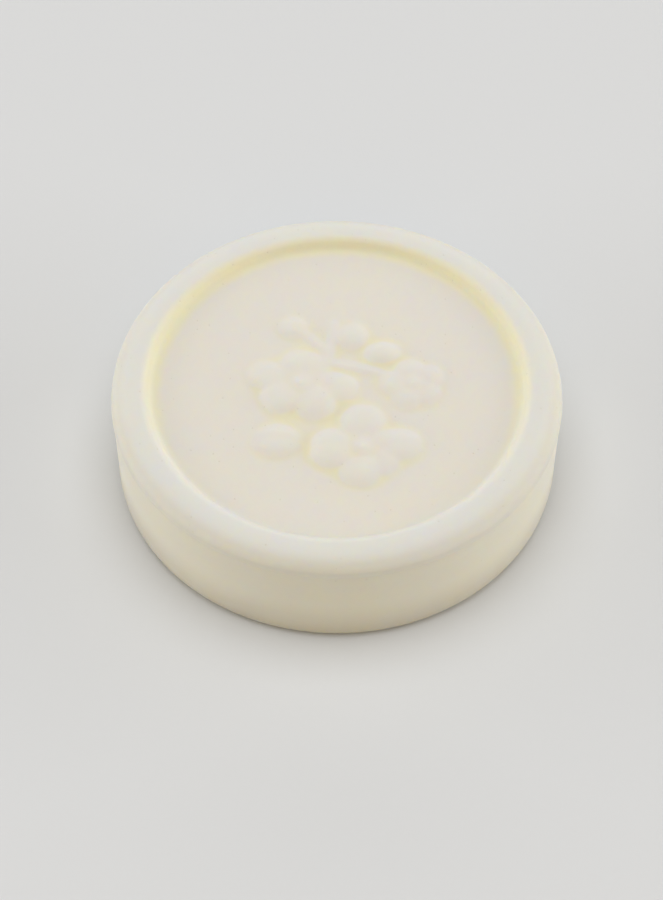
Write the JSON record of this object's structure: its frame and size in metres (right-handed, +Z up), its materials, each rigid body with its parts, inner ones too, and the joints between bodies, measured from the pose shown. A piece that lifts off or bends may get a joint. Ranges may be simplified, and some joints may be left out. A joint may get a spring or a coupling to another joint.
{
  "type": "shaving soap puck",
  "caption": "Round puck of hard shaving soap with a rounded rim, a shallow recess and a soft pressed floral relief, lying on its flat underside.",
  "frame": {"origin": "middle of the flat underside", "axes": "+Z up through the puck's thickness, +Y towards the top of the floral spray, +X to the right as it is read"},
  "size_m": [0.065, 0.065, 0.018],
  "materials": {
    "ivory_soap": "satin, slightly waxy and translucent pressed soap"
  },
  "bodies": {
    "root": {"soap_puck": "ivory_soap"}
  },
  "joints": []
}
